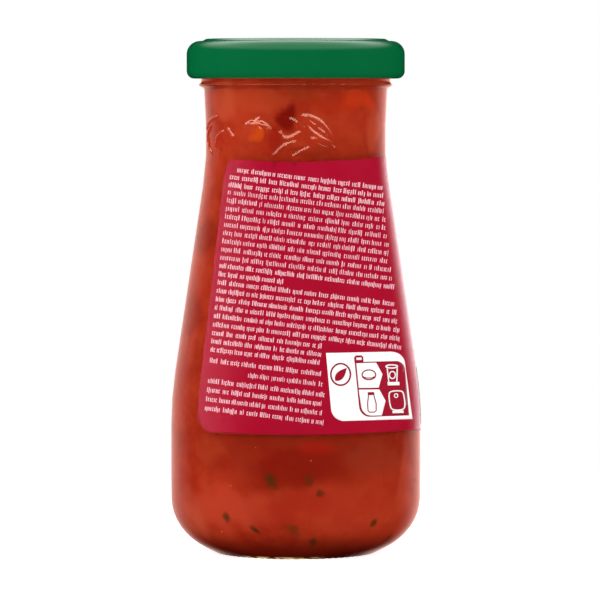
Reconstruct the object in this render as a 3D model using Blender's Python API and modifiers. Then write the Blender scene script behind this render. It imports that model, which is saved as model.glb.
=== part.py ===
"""A tomato sauce jar: a waisted glass jar full of sauce, with a wrap label and a twist-off metal lid.

Metres, +Z up. The origin is the centre of the plane that the foot ring stands on.
The side with the label's small print faces -Y. Angles round the jar start at -Y and grow towards +X.
"""

import bisect
import math

import bmesh
import bpy
from mathutils import Vector

MM = 0.001

# Whole jar
GAP = 0.3 * MM
FACETS = 40
FINE_STEP = math.radians(1)

# Glass, outside
BODY_RADIUS = 37.8 * MM
HEEL_CORNER = 11.9 * MM
HEEL_ROUNDING = 15.0 * MM
UNDERCUT_RADIUS = 32.3 * MM
UNDERCUT_HEIGHT = 4.0 * MM
UNDERCUT_ROUNDING = 19.0 * MM
FOOT_RADIUS = 24.2 * MM
SHOULDER_BOTTOM = 46.8 * MM
SHOULDER_TOP = 120.3 * MM
WAIST_RADIUS = 26.76 * MM
SHOULDER_BLEND = 110.0 * MM
WAIST_BLEND = 92.0 * MM
NECK_RADIUS = 27.7 * MM
BEAD_RADIUS = 29.5 * MM
BEAD_HEIGHT = 141.6 * MM
BEAD_FLANK = 1.0 * MM
FINISH_RADIUS = 28.6 * MM
RIM_HEIGHT = 152.8 * MM
RIM_ROUNDING = 1.3 * MM

# Glass, foot and inside
FOOT_RING_INSIDE = 20.0 * MM
FOOT_EDGE_ROUNDING = 0.9 * MM
PUSH_UP_RADIUS = 17.5 * MM
PUSH_UP_HEIGHT = 1.4 * MM
PUSH_UP_CENTRE = 2.0 * MM
WALL = 2.4 * MM
NECK_WALL = 2.2 * MM
FLOOR_HEIGHT = 4.8 * MM
INNER_HEEL_RADIUS = 18.0 * MM
MOUTH_RADIUS = 25.3 * MM

# Sauce
SAUCE_LEVEL = 147.0 * MM
MENISCUS = 0.8 * MM

# Lid
LID_RADIUS = 33.0 * MM
LID_BOTTOM = 143.6 * MM
LID_TOP = 155.6 * MM
LID_SHEET = 0.45 * MM
LID_SHOULDER_HEIGHT = 154.95 * MM
LID_SHOULDER_ROUNDING = 4.0 * MM
LID_PANEL_RADIUS = 27.1 * MM
LID_PANEL_DIP_RADIUS = 22.5 * MM
LID_PANEL_DIP = 0.4 * MM
LID_BUTTON_RADIUS = 10.0 * MM
LID_BUTTON_DIP = 0.3 * MM
LID_STEP_RUN = 1.2 * MM
CURL_INSIDE = 30.0 * MM
CURL_HEIGHT = 2.8 * MM
CURL_ROUNDING = 2.3 * MM
SEAL_INSIDE = 24.4 * MM

# Label
LABEL_THICKNESS = 0.3 * MM
LABEL_BOTTOM = 38.3 * MM
LABEL_TOP = 118.85 * MM
LABEL_TOP_RISE = 1.4 * MM
LABEL_FRONT_DROP = 1.2 * MM
LABEL_DROP_START = math.radians(50)
LABEL_DROP_END = math.radians(95)
LABEL_START = math.radians(-50.2)
LABEL_END = math.radians(240)
LABEL_CORNER = 6.0 * MM
LABEL_COLUMNS = 52
LABEL_CORNER_COLUMNS = 5
LABEL_ROWS = 10


def clear_scene():
    for obj in list(bpy.data.objects):
        bpy.data.objects.remove(obj)


def collection(name):
    made = bpy.data.collections.new(name)
    bpy.context.scene.collection.children.link(made)
    return made


def material(name, colour, roughness, metallic=0.0, transmission=0.0, ior=1.5):
    made = bpy.data.materials.new(name)
    made.use_nodes = True
    shader = made.node_tree.nodes["Principled BSDF"]
    shader.inputs["Base Color"].default_value = (*colour, 1.0)
    shader.inputs["Roughness"].default_value = roughness
    shader.inputs["Metallic"].default_value = metallic
    shader.inputs["Transmission Weight"].default_value = transmission
    shader.inputs["IOR"].default_value = ior
    return made


def outline(corners, step):
    """The points of a turned outline: straight runs between (radius, height, rounding) corners.

    Each corner with a rounding becomes an arc of that radius.
    """
    points = [Vector(corners[0][:2])]
    for before, corner, after in zip(corners, corners[1:], corners[2:]):
        at = Vector(corner[:2])
        inward = (Vector(before[:2]) - at).normalized()
        outward = (Vector(after[:2]) - at).normalized()
        turn = math.pi - inward.angle(outward)
        if corner[2] == 0 or turn < 1e-6:
            points.append(at)
            continue
        tangent = corner[2] * math.tan(turn / 2)
        centre = at + (inward + outward).normalized() * (corner[2] / math.cos(turn / 2))
        first = at + inward * tangent - centre
        last = at + outward * tangent - centre
        steps = max(2, math.ceil(turn / step))
        for i in range(steps + 1):
            share = i / steps
            mixed = first * math.sin((1 - share) * turn) + last * math.sin(share * turn)
            points.append(centre + mixed / math.sin(turn))
    points.append(Vector(corners[-1][:2]))
    return points


def outer_wall():
    """The outside of the glass from the finish down to the foot, as corners.

    The heel is two arcs, a tight one above a wide one.
    """
    bead_top = BEAD_HEIGHT + BEAD_FLANK
    bead_foot = BEAD_HEIGHT - BEAD_FLANK
    return [
        (FINISH_RADIUS, RIM_HEIGHT, RIM_ROUNDING),
        (FINISH_RADIUS, bead_top, BEAD_FLANK),
        (BEAD_RADIUS, BEAD_HEIGHT, BEAD_FLANK / 3),
        (NECK_RADIUS, bead_foot, BEAD_FLANK),
        (WAIST_RADIUS, SHOULDER_TOP, WAIST_BLEND),
        (BODY_RADIUS, SHOULDER_BOTTOM, SHOULDER_BLEND),
        (BODY_RADIUS, HEEL_CORNER, HEEL_ROUNDING),
        (UNDERCUT_RADIUS, UNDERCUT_HEIGHT, UNDERCUT_ROUNDING),
        (FOOT_RADIUS, 0, FOOT_EDGE_ROUNDING),
    ]


def foot():
    return [
        (FOOT_RING_INSIDE, 0, FOOT_EDGE_ROUNDING),
        (PUSH_UP_RADIUS, PUSH_UP_HEIGHT, FOOT_EDGE_ROUNDING),
        (0, PUSH_UP_CENTRE, 0),
    ]


def inner_wall(gap=0.0):
    """The inside of the glass from the floor up to the waist, as corners, moved into the hollow by gap."""
    return [
        (BODY_RADIUS - WALL - gap, FLOOR_HEIGHT + gap, INNER_HEEL_RADIUS - gap),
        (BODY_RADIUS - WALL - gap, SHOULDER_BOTTOM, SHOULDER_BLEND - WALL - gap),
        (WAIST_RADIUS - NECK_WALL - gap, SHOULDER_TOP, WAIST_BLEND + NECK_WALL + gap),
    ]


def turned(name, corners, step, facets, skin, home):
    """A solid of revolution about Z. The outline starts and ends on the axis and runs down outside."""
    points = outline(corners, step)
    mesh = bpy.data.meshes.new(name)
    edges = [(i, i + 1) for i in range(len(points) - 1)]
    mesh.from_pydata([(p.x, 0, p.y) for p in points], edges, [])
    obj = bpy.data.objects.new(name, mesh)
    home.objects.link(obj)
    mesh.materials.append(skin)
    screw = obj.modifiers.new("Turn", "SCREW")
    screw.axis = "Z"
    screw.angle = math.tau
    screw.steps = facets
    screw.render_steps = facets
    screw.use_merge_vertices = True
    screw.merge_threshold = 0.01 * MM
    screw.use_smooth_shade = True
    return obj


def glass_jar(skin, home):
    corners = [
        (0, FLOOR_HEIGHT, 0),
        *inner_wall(),
        (MOUTH_RADIUS, RIM_HEIGHT, RIM_ROUNDING),
        *outer_wall(),
        *foot(),
    ]
    return turned("glass_jar", corners, math.radians(12), FACETS, skin, home)


def sauce(skin, home):
    """The sauce, filled to just above the lid's lower edge, its surface a little higher at the glass."""
    top_radius = MOUTH_RADIUS - GAP
    corners = [
        (0, SAUCE_LEVEL - MENISCUS, 0),
        (top_radius - 2 * MENISCUS, SAUCE_LEVEL - MENISCUS, MENISCUS),
        (top_radius, SAUCE_LEVEL, 0),
        *reversed(inner_wall(GAP)),
        (0, FLOOR_HEIGHT + GAP, 0),
    ]
    return turned("sauce", corners, math.radians(15), FACETS, skin, home)


def lid(skin, home):
    """A pressed cap: a safety button in a raised panel, a rounded shoulder and a skirt rolled in below.

    The ring that seals on the rim stands down inside it.
    """
    panel = LID_TOP - LID_PANEL_DIP
    button = panel - LID_BUTTON_DIP
    skirt_inside = LID_RADIUS - LID_SHEET
    seal_bottom = RIM_HEIGHT + GAP
    under = button - LID_SHEET
    corners = [
        (0, button, 0),
        (LID_BUTTON_RADIUS - LID_STEP_RUN, button, 0),
        (LID_BUTTON_RADIUS, panel, 0),
        (LID_PANEL_DIP_RADIUS - LID_STEP_RUN, panel, 0),
        (LID_PANEL_DIP_RADIUS, LID_TOP, 0),
        (LID_PANEL_RADIUS, LID_TOP, 0),
        (LID_PANEL_RADIUS + LID_STEP_RUN, LID_SHOULDER_HEIGHT, 0),
        (LID_RADIUS, LID_SHOULDER_HEIGHT, LID_SHOULDER_ROUNDING),
        (LID_RADIUS, LID_BOTTOM, CURL_ROUNDING),
        (CURL_INSIDE, LID_BOTTOM, LID_SHEET),
        (CURL_INSIDE, LID_BOTTOM + CURL_HEIGHT, LID_SHEET),
        (skirt_inside, LID_BOTTOM + CURL_HEIGHT + 2 * LID_SHEET, 0),
        (skirt_inside, seal_bottom, LID_SHEET),
        (SEAL_INSIDE, seal_bottom, LID_SHEET),
        (SEAL_INSIDE - LID_SHEET, under, 0),
        (0, under, 0),
    ]
    return turned("lid", corners, math.radians(18), FACETS, skin, home)


def outer_radius():
    """A function that gives the glass's outer radius at a height below the bead."""
    bead_foot = BEAD_HEIGHT - BEAD_FLANK
    points = [p for p in outline(outer_wall(), FINE_STEP) if HEEL_CORNER <= p.y <= bead_foot]
    points.sort(key=lambda p: p.y)
    heights = [p.y for p in points]

    def radius(height):
        i = min(max(bisect.bisect(heights, height), 1), len(points) - 1)
        low, high = points[i - 1], points[i]
        share = (height - low.y) / (high.y - low.y)
        return low.x + share * (high.x - low.x)

    return radius


def label_angles():
    """The angles of the label's columns, closer together through its rounded corners."""
    corner = LABEL_CORNER / BODY_RADIUS
    turns = [i / LABEL_CORNER_COLUMNS * math.pi / 2 for i in range(LABEL_CORNER_COLUMNS)]
    ends = [corner * (1 - math.cos(turn)) for turn in turns]
    inner = LABEL_COLUMNS - 2 * LABEL_CORNER_COLUMNS
    span = LABEL_END - LABEL_START - 2 * corner
    middle = [LABEL_START + corner + span * i / inner for i in range(inner + 1)]
    return [LABEL_START + e for e in ends] + middle + [LABEL_END - e for e in reversed(ends)]


def label_edges(angle):
    """(bottom, top) of the label at an angle, with its corners rounded.

    It reaches a little lower on its front than beside the small print.
    """
    inset = min(angle - LABEL_START, LABEL_END - angle) * BODY_RADIUS
    short = max(0.0, LABEL_CORNER - inset)
    cut = LABEL_CORNER - math.sqrt(max(0.0, LABEL_CORNER**2 - short**2))
    share = min(max((angle - LABEL_DROP_START) / (LABEL_DROP_END - LABEL_DROP_START), 0.0), 1.0)
    drop = LABEL_FRONT_DROP * share**2 * (3 - 2 * share)
    rise = LABEL_TOP_RISE * math.sin(angle) ** 2
    return LABEL_BOTTOM - drop + cut, LABEL_TOP + rise - cut


def label(skin, home):
    """A thin sheet wrapped on the shoulder: a flat grid bent onto the glass, then thickened outwards."""
    radius = outer_radius()
    angles = label_angles()
    grid = bmesh.new()
    bmesh.ops.create_grid(grid, x_segments=LABEL_COLUMNS, y_segments=LABEL_ROWS, size=0.5)
    for vertex in grid.verts:
        angle = angles[round((vertex.co.x + 0.5) * LABEL_COLUMNS)]
        bottom, top = label_edges(angle)
        height = bottom + (vertex.co.y + 0.5) * (top - bottom)
        reach = radius(height) + GAP
        vertex.co = (reach * math.sin(angle), -reach * math.cos(angle), height)
    mesh = bpy.data.meshes.new("label")
    grid.to_mesh(mesh)
    grid.free()
    obj = bpy.data.objects.new("label", mesh)
    home.objects.link(obj)
    mesh.materials.append(skin)
    mesh.shade_smooth()
    thickness = obj.modifiers.new("Thickness", "SOLIDIFY")
    thickness.thickness = LABEL_THICKNESS
    thickness.offset = 1.0
    return obj


def main():
    clear_scene()
    home = collection("tomato_sauce_jar")
    glass_jar(material("clear_glass", (0.93, 0.96, 0.94), 0.02, transmission=1.0), home)
    sauce(material("tomato_sauce", (0.42, 0.045, 0.015), 0.35), home)
    lid(material("green_lacquer", (0.0, 0.13, 0.04), 0.28, metallic=0.0), home)
    label(material("crimson_label", (0.4, 0.004, 0.03), 0.3), home)


main()
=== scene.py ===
"""Looks for the tomato sauce jar: moulded glass, sauce with herbs, lacquered lid and printed label.

Metres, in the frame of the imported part: +Z up, the side with the small print faces -Y.
Angles round the jar start at -Y and grow towards +X. Flat print is drawn in the photograph's pixels
on the side that it shows, and in millimetres on the side that it hides.
"""

import math
import random
from functools import cache

import bmesh
import bpy
import numpy as np
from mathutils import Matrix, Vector, noise


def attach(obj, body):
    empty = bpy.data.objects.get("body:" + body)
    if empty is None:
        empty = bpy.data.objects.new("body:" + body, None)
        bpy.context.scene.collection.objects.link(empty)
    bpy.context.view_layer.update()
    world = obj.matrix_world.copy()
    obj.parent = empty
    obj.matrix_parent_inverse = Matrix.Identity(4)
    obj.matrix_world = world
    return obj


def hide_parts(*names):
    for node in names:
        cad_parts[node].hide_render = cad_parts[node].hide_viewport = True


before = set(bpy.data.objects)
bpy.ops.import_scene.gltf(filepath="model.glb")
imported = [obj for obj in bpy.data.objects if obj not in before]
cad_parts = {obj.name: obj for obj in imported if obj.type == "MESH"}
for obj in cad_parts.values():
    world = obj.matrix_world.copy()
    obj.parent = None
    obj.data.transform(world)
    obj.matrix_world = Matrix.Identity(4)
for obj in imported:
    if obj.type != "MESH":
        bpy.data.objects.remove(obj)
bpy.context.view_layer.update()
noise.seed_set(4)

MM = 0.001

# The camera, and how the photograph's pixels lie on the jar
IMAGE_SIZE = 600
CAMERA_DISTANCE = 1.36
CAMERA_HEIGHT = 0.140
AIM = Vector((0.0013, 0.0, 0.0765))
VIEW_WIDTH = 0.18204
SENSOR_MM = 36.0
CLIP = (0.01, 20)
AXIS_X = 296
GROUND_Y = 552

# The jar's form, as the solids have it
BODY_RADIUS = 37.8 * MM
SHOULDER_BOTTOM = 46.8 * MM
SHOULDER_TOP = 120.3 * MM
WAIST_RADIUS = 26.76 * MM
SHOULDER_BLEND = 110.0 * MM
WAIST_BLEND = 92.0 * MM
BEAD_HEIGHT = 141.6 * MM
BEAD_FLANK = 1.0 * MM
BEAD_RADIUS = 29.5 * MM
NECK_RADIUS = 27.7 * MM
FINISH_RADIUS = 28.6 * MM
RIM_HEIGHT = 152.8 * MM
RIM_ROUNDING = 1.3 * MM
HEEL_CORNER = 11.9 * MM
HEEL_ROUNDING = 15.0 * MM
UNDERCUT = (32.3 * MM, 4.0 * MM, 19.0 * MM)
FOOT_RADIUS = 24.2 * MM
FOOT_RING_INSIDE = 20.0 * MM
FOOT_ROUNDING = 0.9 * MM
PUSH_UP_RADIUS = 17.5 * MM
PUSH_UP_HEIGHT = 1.4 * MM
PUSH_UP_CENTRE = 2.0 * MM
WALL = 2.4 * MM
NECK_WALL = 2.2 * MM
FLOOR_HEIGHT = 4.8 * MM
INNER_HEEL_RADIUS = 18.0 * MM
MOUTH_RADIUS = 25.3 * MM
SAUCE_LEVEL = 147.0 * MM
SAUCE_INTO_WALL = 0.15 * MM

# The lid
LID_RADIUS = 33.0 * MM
LID_BOTTOM = 143.6 * MM
LID_TOP = 155.6 * MM
LID_SHEET = 0.45 * MM
LID_SHOULDER_HEIGHT = 154.95 * MM

# The label
LABEL_BOTTOM = 38.3 * MM
LABEL_TOP = 118.85 * MM
LABEL_TOP_RISE = 1.4 * MM
LABEL_FRONT_DROP = 1.2 * MM
LABEL_DROP_START = math.radians(50)
LABEL_DROP_END = math.radians(95)
LABEL_START = math.radians(-50.2)
LABEL_END = math.radians(240)
LABEL_CORNER = 6.0 * MM
LABEL_INNER_LIFT = 0.05 * MM
LABEL_OUTER_LIFT = 0.2 * MM
INK = 0.03 * MM


# Forms


def ease(share):
    """A share from 0 to 1 that starts and ends gently."""
    return share**2 * (3 - 2 * share)


def outline(corners, step):
    """The points of a turned outline: straight runs between (radius, height, rounding) corners."""
    points = [Vector(corners[0][:2])]
    for before, corner, after in zip(corners, corners[1:], corners[2:]):
        at = Vector(corner[:2])
        inward = (Vector(before[:2]) - at).normalized()
        outward = (Vector(after[:2]) - at).normalized()
        turn = math.pi - inward.angle(outward)
        if corner[2] == 0 or turn < 1e-6:
            points.append(at)
            continue
        tangent = corner[2] * math.tan(turn / 2)
        centre = at + (inward + outward).normalized() * (corner[2] / math.cos(turn / 2))
        first = at + inward * tangent - centre
        last = at + outward * tangent - centre
        steps = max(2, math.ceil(turn / step))
        for i in range(steps + 1):
            share = i / steps
            mixed = first * math.sin((1 - share) * turn) + last * math.sin(share * turn)
            points.append(centre + mixed / math.sin(turn))
    points.append(Vector(corners[-1][:2]))
    return points


def outer_wall():
    return [
        (FINISH_RADIUS, RIM_HEIGHT, RIM_ROUNDING),
        (FINISH_RADIUS, BEAD_HEIGHT + BEAD_FLANK, BEAD_FLANK),
        (BEAD_RADIUS, BEAD_HEIGHT, BEAD_FLANK / 3),
        (NECK_RADIUS, BEAD_HEIGHT - BEAD_FLANK, BEAD_FLANK),
        (WAIST_RADIUS, SHOULDER_TOP, WAIST_BLEND),
        (BODY_RADIUS, SHOULDER_BOTTOM, SHOULDER_BLEND),
        (BODY_RADIUS, HEEL_CORNER, HEEL_ROUNDING),
        UNDERCUT,
        (FOOT_RADIUS, 0, FOOT_ROUNDING),
    ]


def foot():
    return [
        (FOOT_RING_INSIDE, 0, FOOT_ROUNDING),
        (PUSH_UP_RADIUS, PUSH_UP_HEIGHT, FOOT_ROUNDING),
        (0, PUSH_UP_CENTRE, 0),
    ]


def inner_wall(gap=0.0):
    """The inside of the glass from the floor up to the waist, moved into the hollow by gap."""
    return [
        (BODY_RADIUS - WALL - gap, FLOOR_HEIGHT + gap, INNER_HEEL_RADIUS - gap),
        (BODY_RADIUS - WALL - gap, SHOULDER_BOTTOM, SHOULDER_BLEND - WALL - gap),
        (WAIST_RADIUS - NECK_WALL - gap, SHOULDER_TOP, WAIST_BLEND + NECK_WALL + gap),
    ]


FINE = math.radians(1)
wall_points = sorted((p.y, p.x) for p in outline(outer_wall(), FINE) if HEEL_CORNER < p.y < BEAD_HEIGHT)
WALL_HEIGHTS = np.array([p[0] for p in wall_points])
WALL_RADII = np.array([p[1] for p in wall_points])


def glass_radius(height):
    return np.interp(height, WALL_HEIGHTS, WALL_RADII)


def on_glass(angle, height, lift=0.0):
    reach = float(glass_radius(height)) + lift
    return Vector((reach * math.sin(angle), -reach * math.cos(angle), height))


def finer(points, span):
    """The same outline with its long runs cut into steps no longer than span(height)."""
    result = [points[0]]
    for a, b in zip(points, points[1:]):
        count = max(1, math.ceil((b - a).length / span((a.y + b.y) / 2)))
        result += [a.lerp(b, (i + 1) / count) for i in range(count)]
    return result


def in_scene(name, data):
    obj = bpy.data.objects.new(name, data)
    bpy.context.scene.collection.objects.link(obj)
    return obj


def mesh_of(flat, name):
    mesh = bpy.data.meshes.new(name)
    flat.to_mesh(mesh)
    flat.free()
    return mesh


def mesh_from(points, faces, name):
    mesh = bpy.data.meshes.new(name)
    mesh.from_pydata(points, [], faces)
    mesh.shade_smooth()
    return mesh


def add_object(name, mesh, material, body="root", stands_for=None):
    mesh.materials.append(material)
    obj = in_scene(name, mesh)
    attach(obj, body)
    if stands_for:
        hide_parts(stands_for)
    return obj


def lathe(name, points, columns, shape=None):
    """A closed mesh of revolution. The outline runs from the axis, down the outside, to the axis."""
    rings = np.array([(p.x, p.y) for p in points[1:-1]])
    angles = np.linspace(0, math.tau, columns, endpoint=False)
    radius = np.repeat(rings[:, :1], columns, axis=1)
    height = np.repeat(rings[:, 1:], columns, axis=1)
    turn = np.broadcast_to(angles, radius.shape)
    if shape:
        radius, height = shape(radius, height, turn)
    around = np.stack([radius * np.sin(turn), -radius * np.cos(turn), height], axis=-1).reshape(-1, 3)
    ends = [(0, 0, points[0].y), (0, 0, points[-1].y)]
    here = np.arange(columns)
    there = (here + 1) % columns
    start = np.arange(len(rings) - 1)[:, None] * columns
    below = start + columns
    quads = np.stack([start + here, below + here, below + there, start + there], axis=-1)
    top = len(around)
    last = (len(rings) - 1) * columns
    faces = quads.reshape(-1, 4).tolist()
    faces += [(top, int(a), int(b)) for a, b in zip(here, there)]
    faces += [(top + 1, int(last + b), int(last + a)) for a, b in zip(here, there)]
    return mesh_from(around.tolist() + ends, faces, name)


# Camera


def make_camera():
    data = bpy.data.cameras.new("camera")
    camera = in_scene("camera", data)
    camera.location = (AIM.x, -CAMERA_DISTANCE, CAMERA_HEIGHT)
    reach = AIM - camera.location
    camera.rotation_euler = reach.to_track_quat("-Z", "Y").to_euler()
    data.sensor_width = SENSOR_MM
    data.lens = SENSOR_MM * reach.length / VIEW_WIDTH
    data.clip_start, data.clip_end = CLIP
    bpy.context.scene.camera = camera
    return camera


camera = make_camera()
EYE = camera.location.copy()
AHEAD = (AIM - EYE).normalized()
RIGHT = AHEAD.cross(Vector((0, 0, 1))).normalized()
UP = RIGHT.cross(AHEAD)
PIXELS_PER_SLOPE = IMAGE_SIZE * (AIM - EYE).length / VIEW_WIDTH
PIXEL = VIEW_WIDTH / IMAGE_SIZE


def pixel_of(point):
    """Where a point shows in the picture."""
    ray = point - EYE
    depth = ray.dot(AHEAD)
    x = IMAGE_SIZE / 2 + ray.dot(RIGHT) / depth * PIXELS_PER_SLOPE
    y = IMAGE_SIZE / 2 - ray.dot(UP) / depth * PIXELS_PER_SLOPE
    return x, y


def place_by_pixel(x, y, lift=0.0):
    """The (angle, height) on the near side of the glass, or lift above it, that shows at a pixel."""
    across = (x - AXIS_X) * PIXEL
    height = (GROUND_Y - y) * PIXEL
    for _ in range(6):
        reach = float(glass_radius(height)) + lift
        angle = math.asin(max(-0.999, min(0.999, across / reach)))
        shown = pixel_of(on_glass(angle, height, lift))
        across += (x - shown[0]) * PIXEL
        height += (shown[1] - y) * PIXEL
    return angle, height


# Materials

WHITE = (1, 1, 1)
GLASS_COLOUR = (0.985, 0.985, 0.97)
GLASS_SHADOW = (0.96, 0.97, 0.96)
SAUCE_DARK = (0.50, 0.030, 0.010)
SAUCE_MID = (0.66, 0.055, 0.018)
SAUCE_LIGHT = (0.78, 0.10, 0.036)
SAUCE_DEPTHS = (1.0, 0.25, 0.1)
LACQUER = ((0.0003, 0.105, 0.030), (0.0004, 0.114, 0.035))
FILM = ((0.338, 0.0010, 0.0180), (0.358, 0.0014, 0.0205))
VARNISH = {"IOR": 1.48, "Specular_IOR_Level": 0.12}
INK_ROUGHNESS = 0.32
INKS = {
    "blush": (0.98, 0.585, 0.66),
    "white": (0.93, 0.93, 0.92),
    "crimson": (0.335, 0.0028, 0.0215),
    # rim: not print but a painted shadow, a dark line along the label's bottom edge.
    "rim": (0.27, 0.002, 0.008),
    "green": (0.075, 0.30, 0.045),
    "deep_green": (0.01, 0.12, 0.025),
    "cream": (0.90, 0.85, 0.70),
    "red": (0.62, 0.02, 0.012),
    "glow": (0.90, 0.33, 0.22),
    "wine": (0.30, 0.003, 0.018),
}

# Painted glint: the glass glows in broken spots along its foot, as if the foot ring's small notches caught
# the light
PAINTED_GLINT_STRENGTH = 0.7
PAINTED_GLINT_COLOUR = (0.80, 0.62, 0.30)
PAINTED_GLINT_HEIGHTS = (0.5 * MM, 0.9 * MM)
PAINTED_GLINT_CENTRE = -2.5 * MM
PAINTED_GLINT_FADE = (9.0 * MM, 14.0 * MM)


class Nodes:
    """Short ways to add shader nodes to a tree."""

    def __init__(self, tree):
        self.tree = tree

    def node(self, kind, **values):
        made = self.tree.nodes.new("ShaderNode" + kind)
        for key, value in values.items():
            setattr(made, key, value)
        return made

    def fill(self, socket, value):
        """Gives a socket a number or a colour, or links an output to it."""
        if isinstance(value, tuple):
            socket.default_value = (*value, 1.0)
        elif isinstance(value, (int, float)):
            socket.default_value = value
        else:
            self.tree.links.new(value, socket)

    def join(self, kind, *values, **named):
        """The first output of a new node, whose sockets are filled in order or by name."""
        made = self.node(kind)
        for key, value in (*enumerate(values), *named.items()):
            self.fill(made.inputs[key], value)
        return made.outputs[0]

    def place(self):
        return self.node("TexCoord").outputs["Object"]

    def axes(self, vector):
        made = self.node("SeparateXYZ")
        self.fill(made.inputs[0], vector)
        return made.outputs

    def noise(self, scale, detail=3.0, roughness=0.5):
        return self.join("TexNoise", Vector=self.place(), Scale=scale, Detail=detail, Roughness=roughness)

    def ramp(self, source, low, high, to_low=0.0, to_high=1.0, kind="LINEAR"):
        """Turns the source's values from low to high into those from to_low to to_high."""
        made = self.node("MapRange", interpolation_type=kind)
        for key, value in zip(("From Min", "From Max", "To Min", "To Max"), (low, high, to_low, to_high)):
            made.inputs[key].default_value = value
        self.fill(made.inputs["Value"], source)
        return made.outputs["Result"]

    def smooth(self, *values):
        """A ramp that starts and ends gently."""
        return self.ramp(*values, kind="SMOOTHSTEP")

    def calculate(self, operation, a, b=0.0):
        made = self.node("Math", operation=operation)
        self.fill(made.inputs[0], a)
        self.fill(made.inputs[1], b)
        return made.outputs["Value"]

    def multiply(self, a, b):
        return self.calculate("MULTIPLY", a, b)

    def mix(self, factor, a, b):
        """A blend of two colours."""
        made = self.node("Mix", data_type="RGBA")
        for socket, value in ((made.inputs[0], factor), (made.inputs[6], a), (made.inputs[7], b)):
            self.fill(socket, value)
        return made.outputs[2]


class Surface(Nodes):
    """A material, its main shader and its output."""

    def __init__(self, name):
        self.material = bpy.data.materials.new(name)
        self.material.use_nodes = True
        super().__init__(self.material.node_tree)
        self.shader = self.tree.nodes["Principled BSDF"]
        self.output = self.tree.nodes["Material Output"].inputs["Surface"]

    def set(self, **values):
        for key, value in values.items():
            self.fill(self.shader.inputs[key.replace("_", " ")], value)

    def bump(self, height, strength, distance):
        self.set(Normal=self.join("Bump", Height=height, Strength=strength, Distance=distance))


def glass_material():
    """Clear glass that lets light from lamps through to what it holds, with a painted glint at its foot: the
    glass there emits light in broken spots.
    """
    n = Surface("jar_glass")
    n.set(Base_Color=GLASS_COLOUR, Roughness=0.012, IOR=1.5, Transmission_Weight=1.0)
    n.bump(n.noise(90, detail=2), strength=0.12, distance=0.0004)
    x, _, z = n.axes(n.place())
    # Painted glint: emission on the glass near its foot, broken up by noise and strongest near the front.
    low = n.ramp(z, *PAINTED_GLINT_HEIGHTS, 1.0, 0.0)
    broken = n.ramp(n.noise(330, detail=3), 0.42, 0.60)
    across = n.calculate("SUBTRACT", x, PAINTED_GLINT_CENTRE)
    near = n.ramp(n.calculate("ABSOLUTE", across), *PAINTED_GLINT_FADE, 1.0, 0.1)
    painted_foot_glint = n.multiply(n.multiply(low, broken), near)
    n.set(Emission_Strength=n.multiply(painted_foot_glint, PAINTED_GLINT_STRENGTH), Emission_Color=PAINTED_GLINT_COLOUR)
    clear = n.join("BsdfTransparent", Color=GLASS_SHADOW)
    shadow = n.node("LightPath").outputs["Is Shadow Ray"]
    n.fill(n.output, n.join("MixShader", shadow, n.shader.outputs[0], clear))
    return n.material


def sauce_material():
    """Pulp in oil. An attribute lays its patches, painted light and shade among them, and herbs over the
    pulp's own unevenness.
    """
    n = Surface("sauce_pulp")
    n.set(Roughness=0.5, IOR=1.4, Specular_IOR_Level=0.0, Subsurface_Weight=0.15, Subsurface_Scale=0.003)
    n.shader.inputs["Subsurface Radius"].default_value = SAUCE_DEPTHS
    broad = n.smooth(n.noise(38, detail=3, roughness=0.55), 0.36, 0.66)
    pulp = n.smooth(n.noise(170, detail=4, roughness=0.6), 0.35, 0.7)
    grain = n.ramp(n.noise(900, detail=2), 0.3, 0.75)
    colour = n.mix(broad, SAUCE_DARK, SAUCE_MID)
    colour = n.mix(n.multiply(pulp, 0.4), colour, SAUCE_LIGHT)
    colour = n.mix(n.multiply(grain, 0.12), colour, SAUCE_LIGHT)
    tint = n.node("Attribute", attribute_name="tone_and_painted_light")
    n.set(Base_Color=n.mix(tint.outputs["Alpha"], colour, tint.outputs["Color"]))
    n.bump(n.noise(260, detail=4, roughness=0.6), strength=0.3, distance=0.0005)
    return n.material


def lid_material():
    """Gloss lacquer on tinplate, with a faint orange peel and a few fine rubs."""
    n = Surface("lid_lacquer")
    shade = n.ramp(n.noise(30, detail=3), 0.3, 0.7)
    rub = n.ramp(n.noise(420, detail=5, roughness=0.7), 0.45, 0.8, 0.16, 0.26)
    n.set(Base_Color=n.mix(shade, *LACQUER), Roughness=rub, IOR=1.5, Specular_IOR_Level=0.08)
    n.bump(n.noise(700, detail=2), strength=0.05, distance=0.0001)
    return n.material


def film_material():
    """The label's printed film: crimson ink under gloss varnish."""
    n = Surface("label_film")
    cloud = n.ramp(n.noise(60, detail=3), 0.35, 0.65)
    gloss = n.ramp(n.noise(120, detail=2), 0.35, 0.7, 0.20, 0.24)
    n.set(Base_Color=n.mix(cloud, *FILM), Roughness=gloss, **VARNISH)
    return n.material


@cache
def ink_material(name):
    """One printed colour, a little uneven as ink is."""
    n = Surface("ink_" + name)
    deep = tuple(0.93 * c for c in INKS[name])
    shade = n.ramp(n.noise(800, detail=3), 0.35, 0.65)
    n.set(Base_Color=n.mix(shade, deep, INKS[name]), Roughness=INK_ROUGHNESS, **VARNISH)
    return n.material

# Glass


def stroke_points(points, closed=False, steps=6):
    """A smooth curve through the points."""
    count = len(points)
    wrap = (lambda i: i % count) if closed else (lambda i: max(0, min(count - 1, i)))
    result = []
    for i in range(count if closed else count - 1):
        a, b, c, d = (Vector(points[wrap(i + k)]) for k in (-1, 0, 1, 2))
        for j in range(steps):
            t = j / steps
            result.append(0.5 * (2 * b + (c - a) * t + (2 * a - 5 * b + 4 * c - d) * t**2
                                 + (3 * b - a - 3 * c + d) * t**3))
    result.append(Vector(points[0] if closed else points[-1]))
    return result


def circle_points(cx, cy, rx, ry, count=20, first=0.0, last=math.tau):
    turns = [first + (last - first) * i / count for i in range(count + 1)]
    return [(cx + rx * math.cos(turn), cy + ry * math.sin(turn)) for turn in turns]


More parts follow.
